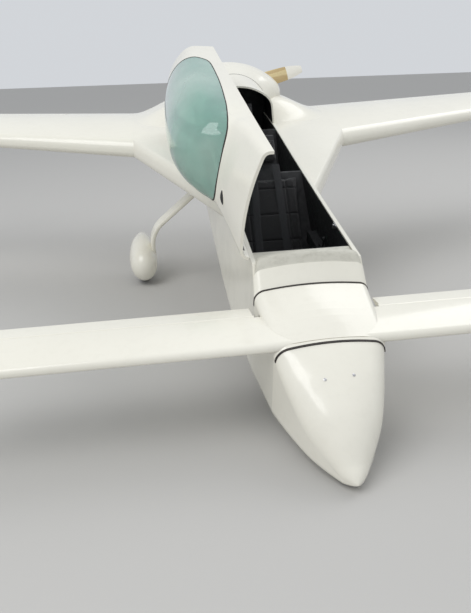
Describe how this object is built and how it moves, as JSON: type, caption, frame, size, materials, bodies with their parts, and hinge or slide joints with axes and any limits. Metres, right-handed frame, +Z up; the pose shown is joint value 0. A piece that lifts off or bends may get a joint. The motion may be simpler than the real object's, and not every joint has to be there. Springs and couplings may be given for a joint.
{
  "type": "canard pusher light aircraft",
  "caption": "Two-seat tandem light aircraft with a canard, swept rear wing with winglets and a pusher propeller, parked on its nose bumper with the canopy open.",
  "frame": {"origin": "centre of the bounding box, on the floor under the main wheels and the nose bumper", "axes": "+X to port, +Y aft, +Z up"},
  "size_m": [6.77, 4.0556, 2.1992],
  "materials": {
    "white_paint": "gloss",
    "canopy_glass": "gloss",
    "sill_trim": "matte",
    "cabin_dark": "matte",
    "upholstery": "matte",
    "tyre": "matte",
    "alloy": "satin",
    "steel": "satin",
    "propeller_paint": "gloss",
    "spinner_paint": "gloss"
  },
  "bodies": {
    "airframe": {"nose_shell": "white_paint", "canard_cover": "white_paint", "forward_deck": "white_paint", "sill_ledge": "sill_trim", "fuselage_side_left": "white_paint", "fuselage_side_right": "white_paint", "fuselage_floor": "white_paint", "turtledeck": "white_paint", "firewall": "cabin_dark", "cowling_top": "white_paint", "cowling_bottom": "white_paint", "engine_block": "alloy", "engine_mount": "steel", "exhaust_pipes": "steel", "strake_left": "white_paint", "strake_right": "white_paint", "wing_left": "white_paint", "wing_right": "white_paint", "winglet_left": "white_paint", "winglet_right": "white_paint", "tie_down_eyes": "steel", "canard": "white_paint", "hull_hinge_leaves": "steel", "instrument_panel": "cabin_dark", "front_seat_back": "cabin_dark", "rear_seat_back": "cabin_dark", "front_back_cushion": "upholstery", "front_pan_cushion": "upholstery", "rear_back_cushion": "upholstery", "rear_pan_cushion": "upholstery", "headrests": "upholstery", "side_consoles": "cabin_dark", "hand_controls": "cabin_dark", "nose_gear_well": "cabin_dark", "nose_strut": "steel", "nose_bumper": "tyre", "main_gear_bow": "white_paint", "wheel_pant_left": "white_paint", "wheel_pant_right": "white_paint", "main_axles": "steel"},
    "canopy": {"canopy_frame": "white_paint", "canopy_glass": "canopy_glass", "canopy_hinge_leaves": "steel"},
    "propeller_assembly": {"propeller": "propeller_paint", "spinner": "spinner_paint", "propeller_shaft": "steel"},
    "elevators": {"elevator_left": "white_paint", "elevator_right": "white_paint", "elevator_torque_tube": "alloy"},
    "aileron_left": {"aileron_left": "white_paint"},
    "aileron_right": {"aileron_right": "white_paint"},
    "rudder_left": {"rudder_left": "white_paint"},
    "rudder_right": {"rudder_right": "white_paint"},
    "wheel_left": {"tyre_left": "tyre", "hub_left": "alloy"},
    "wheel_right": {"tyre_right": "tyre", "hub_right": "alloy"},
    "nose_wheel": {"nose_tyre": "tyre", "nose_hub": "alloy"}
  },
  "joints": [
    {"name": "canopy_hinge", "type": "hinge", "parent": "airframe", "child": "canopy", "pos_m": [-0.284, -0.2416, 0.98135], "axis": [0, -0.9736, -0.2284], "range_deg": [-79, 8]},
    {"name": "propeller_spin", "type": "hinge", "parent": "airframe", "child": "propeller_assembly", "pos_m": [0, 1.61322, 1.39385], "axis": [0, 0.9736, 0.2284], "continuous": true},
    {"name": "wheel_left_spin", "type": "hinge", "parent": "airframe", "child": "wheel_left", "pos_m": [0.775, 0.90074, 0.14], "axis": [1, 0, 0], "continuous": true},
    {"name": "wheel_right_spin", "type": "hinge", "parent": "airframe", "child": "wheel_right", "pos_m": [-0.775, 0.90074, 0.14], "axis": [1, 0, 0], "continuous": true},
    {"name": "nose_wheel_spin", "type": "hinge", "parent": "airframe", "child": "nose_wheel", "pos_m": [0, -0.94474, 0.23504], "axis": [1, 0, 0], "continuous": true},
    {"name": "elevator_hinge", "type": "hinge", "parent": "airframe", "child": "elevators", "pos_m": [0, -1.39935, 0.5411], "axis": [1, 0, 0], "range_deg": [-20, 22]},
    {"name": "aileron_left_hinge", "type": "hinge", "parent": "airframe", "child": "aileron_left", "pos_m": [1.3, 1.425, 1.24148], "axis": [0.9755, 0.2175, 0.033], "range_deg": [-18, 18]},
    {"name": "aileron_right_hinge", "type": "hinge", "parent": "airframe", "child": "aileron_right", "pos_m": [-1.3, 1.425, 1.24148], "axis": [0.9755, -0.2175, -0.033], "range_deg": [-18, 18]},
    {"name": "rudder_left_hinge", "type": "hinge", "parent": "airframe", "child": "rudder_left", "pos_m": [3.36163, 1.84297, 1.37585], "axis": [0, 0.021, -0.9998], "range_deg": [0, 30]},
    {"name": "rudder_right_hinge", "type": "hinge", "parent": "airframe", "child": "rudder_right", "pos_m": [-3.36163, 1.84297, 1.37585], "axis": [0, -0.021, 0.9998], "range_deg": [0, 30]}
  ],
  "couplings": [
    {"joint": "aileron_right_hinge", "follows": "aileron_left_hinge", "ratio": -1}
  ]
}
